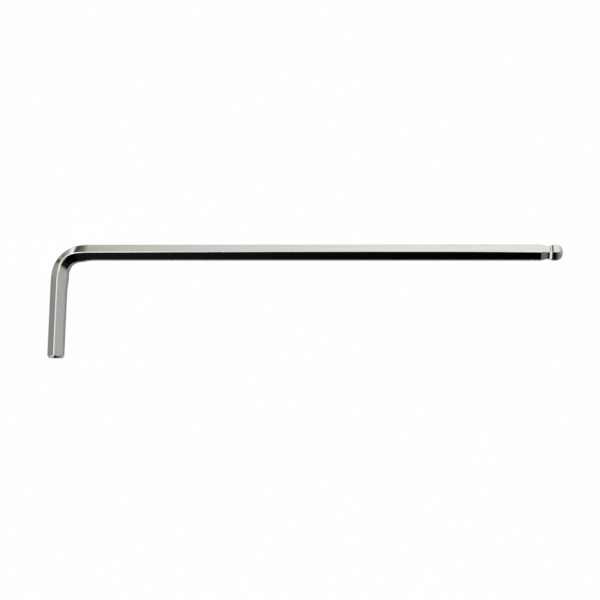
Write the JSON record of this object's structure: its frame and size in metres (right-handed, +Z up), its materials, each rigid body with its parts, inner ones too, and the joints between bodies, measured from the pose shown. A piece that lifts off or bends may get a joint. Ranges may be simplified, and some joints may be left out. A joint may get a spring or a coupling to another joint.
{
  "type": "hex key",
  "caption": "L-shaped hexagon key bent from a steel bar: the long arm ends in a ball-shaped hexagon and the short arm in a chamfered end, for turning socket screws.",
  "frame": {"origin": "middle of the underside of the bounding box, with the key lying flat", "axes": "+X along the long arm to its ball end, the short arm runs to -Y, +Z up out of the surface the key lies on"},
  "size_m": [0.1662, 0.037, 0.0056],
  "materials": {
    "plated_steel": "bright nickel plate"
  },
  "bodies": {
    "root": {"hex_key": "plated_steel"}
  },
  "joints": []
}
